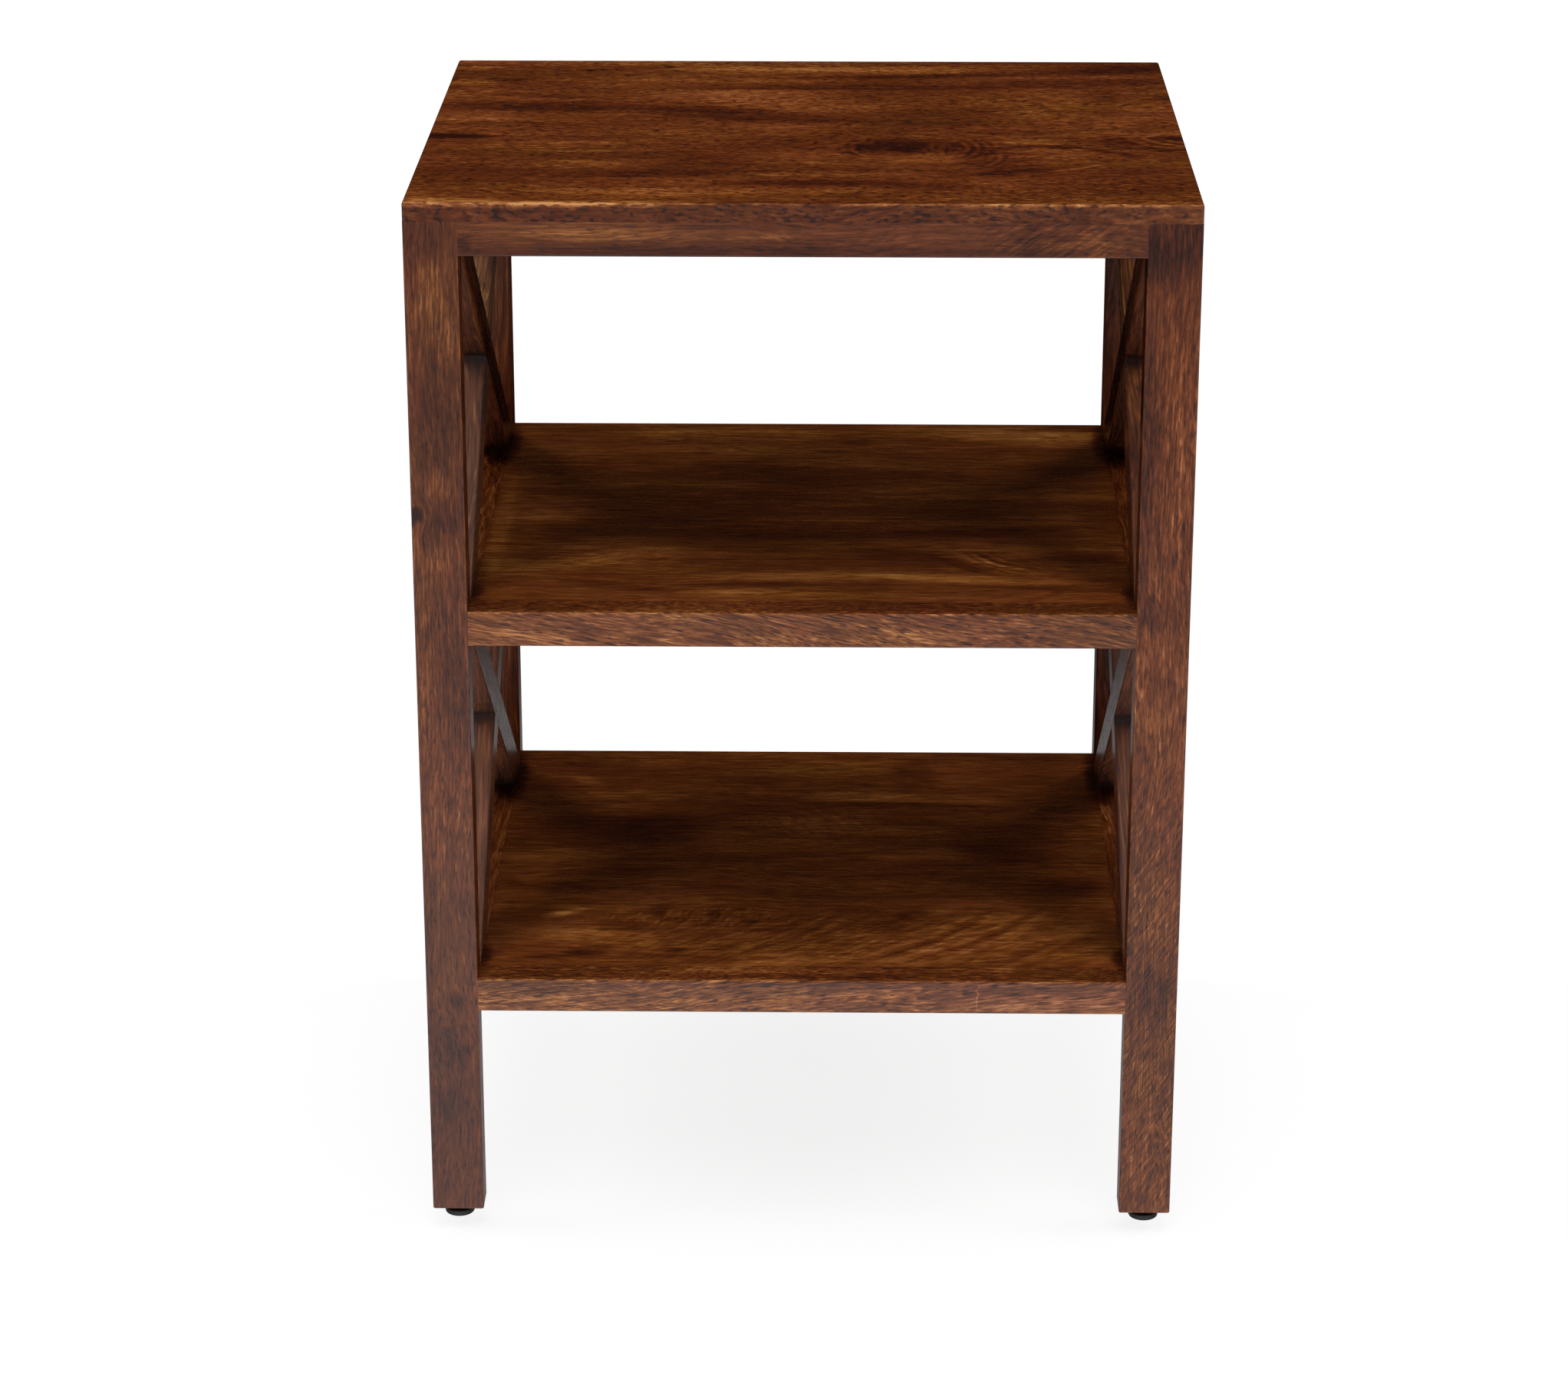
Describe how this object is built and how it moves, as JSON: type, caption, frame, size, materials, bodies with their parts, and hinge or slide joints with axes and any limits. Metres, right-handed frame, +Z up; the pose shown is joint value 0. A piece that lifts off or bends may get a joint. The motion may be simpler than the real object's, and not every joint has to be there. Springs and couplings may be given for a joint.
{
  "type": "end table",
  "caption": "Solid-wood end table: a flat square-edged top over open full-depth shelves, between side frames with crossed braces, on screw-in levelling feet.",
  "frame": {"origin": "on the floor under the middle of the table, feet screwed right in", "axes": "+X to the right seen from the front, +Y from front to back, +Z up"},
  "size_m": [0.45, 0.38, 0.636],
  "materials": {
    "top_wood": "dark brown stain under a satin lacquer",
    "shelf_wood": "dark brown stain under a satin lacquer",
    "frame_wood": "dark brown stain under a satin lacquer",
    "dowel_wood": "plain, unstained",
    "screw_steel": "zinc plated",
    "foot_metal": "zinc plated",
    "foot_plastic": "moulded, matt"
  },
  "bodies": {
    "table": {"brace_dowels_left": "dowel_wood", "brace_dowels_right": "dowel_wood", "foot_inserts": "foot_metal", "leg_back_left": "frame_wood", "leg_back_right": "frame_wood", "leg_front_left": "frame_wood", "leg_front_right": "frame_wood", "lower_brace_left_falling": "frame_wood", "lower_brace_left_rising": "frame_wood", "lower_brace_right_falling": "frame_wood", "lower_brace_right_rising": "frame_wood", "lower_rail_left": "frame_wood", "lower_rail_right": "frame_wood", "lower_shelf_back_board": "shelf_wood", "lower_shelf_back_middle_board": "shelf_wood", "lower_shelf_back_strip": "shelf_wood", "lower_shelf_dowels": "dowel_wood", "lower_shelf_front_board": "shelf_wood", "lower_shelf_front_middle_board": "shelf_wood", "lower_shelf_front_strip": "shelf_wood", "top_board_back": "top_wood", "top_board_back_middle": "top_wood", "top_board_front": "top_wood", "top_board_front_middle": "top_wood", "top_rail_back": "frame_wood", "top_rail_front": "frame_wood", "top_rail_left": "frame_wood", "top_rail_right": "frame_wood", "top_screws": "screw_steel", "upper_brace_left_falling": "frame_wood", "upper_brace_left_rising": "frame_wood", "upper_brace_right_falling": "frame_wood", "upper_brace_right_rising": "frame_wood", "upper_rail_left": "frame_wood", "upper_rail_right": "frame_wood", "upper_shelf_back_board": "shelf_wood", "upper_shelf_back_middle_board": "shelf_wood", "upper_shelf_back_strip": "shelf_wood", "upper_shelf_dowels": "dowel_wood", "upper_shelf_front_board": "shelf_wood", "upper_shelf_front_middle_board": "shelf_wood", "upper_shelf_front_strip": "shelf_wood"},
    "pad_front_left": {"foot_pad_front_left": "foot_plastic"},
    "stem_front_left": {"foot_stem_front_left": "foot_metal"},
    "pad_back_left": {"foot_pad_back_left": "foot_plastic"},
    "stem_back_left": {"foot_stem_back_left": "foot_metal"},
    "pad_front_right": {"foot_pad_front_right": "foot_plastic"},
    "stem_front_right": {"foot_stem_front_right": "foot_metal"},
    "pad_back_right": {"foot_pad_back_right": "foot_plastic"},
    "stem_back_right": {"foot_stem_back_right": "foot_metal"}
  },
  "joints": [
    {"name": "foot_front_left_height", "type": "slide", "parent": "table", "child": "pad_front_left", "axis": [0, 0, -1], "range_m": [0, 0.008]},
    {"name": "foot_front_left_turn", "type": "hinge", "parent": "pad_front_left", "child": "stem_front_left", "pos_m": [-0.2095, -0.1795, 0], "axis": [0, 0, -1], "range_deg": [0, 2880]},
    {"name": "foot_back_left_height", "type": "slide", "parent": "table", "child": "pad_back_left", "axis": [0, 0, -1], "range_m": [0, 0.008]},
    {"name": "foot_back_left_turn", "type": "hinge", "parent": "pad_back_left", "child": "stem_back_left", "pos_m": [-0.2095, 0.1795, 0], "axis": [0, 0, -1], "range_deg": [0, 2880]},
    {"name": "foot_front_right_height", "type": "slide", "parent": "table", "child": "pad_front_right", "axis": [0, 0, -1], "range_m": [0, 0.008]},
    {"name": "foot_front_right_turn", "type": "hinge", "parent": "pad_front_right", "child": "stem_front_right", "pos_m": [0.2095, -0.1795, 0], "axis": [0, 0, -1], "range_deg": [0, 2880]},
    {"name": "foot_back_right_height", "type": "slide", "parent": "table", "child": "pad_back_right", "axis": [0, 0, -1], "range_m": [0, 0.008]},
    {"name": "foot_back_right_turn", "type": "hinge", "parent": "pad_back_right", "child": "stem_back_right", "pos_m": [0.2095, 0.1795, 0], "axis": [0, 0, -1], "range_deg": [0, 2880]}
  ],
  "couplings": [
    {"joint": "foot_front_left_turn", "follows": "foot_front_left_height", "rad_per_m": 6283.2},
    {"joint": "foot_back_left_turn", "follows": "foot_back_left_height", "rad_per_m": 6283.2},
    {"joint": "foot_front_right_turn", "follows": "foot_front_right_height", "rad_per_m": 6283.2},
    {"joint": "foot_back_right_turn", "follows": "foot_back_right_height", "rad_per_m": 6283.2}
  ]
}
